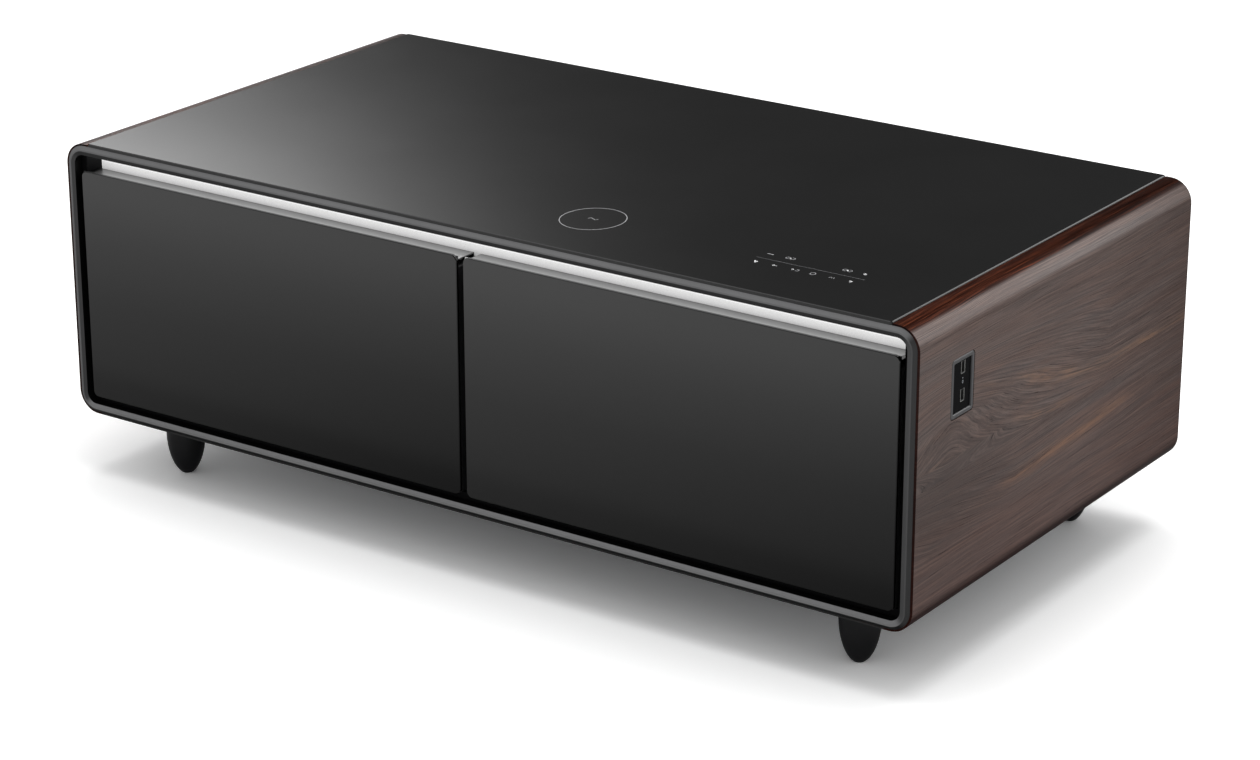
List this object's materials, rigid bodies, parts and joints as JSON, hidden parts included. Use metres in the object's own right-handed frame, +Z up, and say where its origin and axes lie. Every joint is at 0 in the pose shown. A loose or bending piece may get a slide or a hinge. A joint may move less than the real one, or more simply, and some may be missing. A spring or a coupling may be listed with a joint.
{
  "type": "refrigerator coffee table",
  "caption": "Low coffee table on bullet feet with a glass top, wood-grain sides and cooled drawers on slides, each with a pull rail.",
  "frame": {"origin": "floor below the middle of the table", "axes": "+X along the table to the side with the charging port, -Y toward the drawers' user, +Z up"},
  "size_m": [1.3, 0.685, 0.4698],
  "materials": {
    "wood_grain": "matte brown-grey walnut foil on board",
    "black_glass": "black tempered glass, polished",
    "frame_metal": "dark grey satin",
    "sheet_steel": "zinc coated sheet",
    "rear_steel": "black powder coat",
    "screw_steel": "zinc plated",
    "foot_black": "black satin",
    "surround_black": "black satin",
    "bar_white": "white, lit from above",
    "diffuser": "milky white",
    "foam": "cream rigid foam",
    "liner_grey": "light grey",
    "cold_aluminium": "plain",
    "board_green": "green circuit board",
    "coil_copper": "wound copper wire in a flat case",
    "bezel_metal": "satin grey",
    "housing_black": "black",
    "socket_metal": "nickel plated",
    "compressor_black": "black enamel",
    "rubber": "matte black",
    "fins": "plain",
    "fan_black": "black",
    "control_grey": "light grey",
    "inlet_black": "black",
    "slide_zinc": "zinc plated",
    "door_core": "foam core in a black skin",
    "pull_aluminium": "satin anodised",
    "seal_rubber": "soft black",
    "bin_white": "white"
  },
  "bodies": {
    "cabinet": {"side_shell_left": "wood_grain", "side_shell_right": "wood_grain", "front_frame": "frame_metal", "front_surround": "surround_black", "glass_top": "black_glass", "top_deck": "sheet_steel", "base_plate": "sheet_steel", "rear_panel": "rear_steel", "insulation_top": "foam", "insulation_base": "foam", "insulation_left": "foam", "insulation_right": "foam", "insulation_centre": "foam", "insulation_rear": "foam", "liner_left": "liner_grey", "liner_right": "liner_grey", "cold_plate_left": "cold_aluminium", "cold_plate_right": "cold_aluminium", "light_bar": "bar_white", "light_diffuser": "diffuser", "touch_board": "board_green", "charging_coil": "coil_copper", "port_bezel": "bezel_metal", "port_housing": "housing_black", "port_sockets": "socket_metal", "compressor": "compressor_black", "compressor_mounts": "rubber", "condenser": "fins", "fan_shroud": "fan_black", "control_box": "control_grey", "power_inlet": "inlet_black", "foot_front_left": "foot_black", "foot_front_right": "foot_black", "foot_rear_left": "foot_black", "foot_rear_right": "foot_black", "foot_bolts": "screw_steel", "panel_screws": "screw_steel", "slide_outer_left_inboard": "slide_zinc", "slide_outer_left_outboard": "slide_zinc", "slide_outer_right_inboard": "slide_zinc", "slide_outer_right_outboard": "slide_zinc"},
    "drawer_left": {"door_glass_left": "black_glass", "door_panel_left": "door_core", "pull_left": "pull_aluminium", "seal_left": "seal_rubber", "bin_left": "bin_white", "slide_inner_left_inboard": "slide_zinc", "slide_inner_left_outboard": "slide_zinc"},
    "carriage_left": {"slide_middle_left_inboard": "slide_zinc", "slide_middle_left_outboard": "slide_zinc"},
    "drawer_right": {"door_glass_right": "black_glass", "door_panel_right": "door_core", "pull_right": "pull_aluminium", "seal_right": "seal_rubber", "bin_right": "bin_white", "slide_inner_right_inboard": "slide_zinc", "slide_inner_right_outboard": "slide_zinc"},
    "carriage_right": {"slide_middle_right_inboard": "slide_zinc", "slide_middle_right_outboard": "slide_zinc"},
    "fan": {"fan_impeller": "fan_black"}
  },
  "joints": [
    {"name": "drawer_left_slide", "type": "slide", "parent": "cabinet", "child": "drawer_left", "axis": [0, -1, 0], "range_m": [0, 0.4]},
    {"name": "carriage_left_slide", "type": "slide", "parent": "cabinet", "child": "carriage_left", "axis": [0, -1, 0], "range_m": [0, 0.2]},
    {"name": "drawer_right_slide", "type": "slide", "parent": "cabinet", "child": "drawer_right", "axis": [0, -1, 0], "range_m": [0, 0.4]},
    {"name": "carriage_right_slide", "type": "slide", "parent": "cabinet", "child": "carriage_right", "axis": [0, -1, 0], "range_m": [0, 0.2]},
    {"name": "fan_spin", "type": "hinge", "parent": "cabinet", "child": "fan", "pos_m": [-0.04, 0.2715, 0.152], "axis": [1, 0, 0], "continuous": true}
  ],
  "couplings": [
    {"joint": "carriage_left_slide", "follows": "drawer_left_slide", "ratio": 0.5},
    {"joint": "carriage_right_slide", "follows": "drawer_right_slide", "ratio": 0.5}
  ]
}
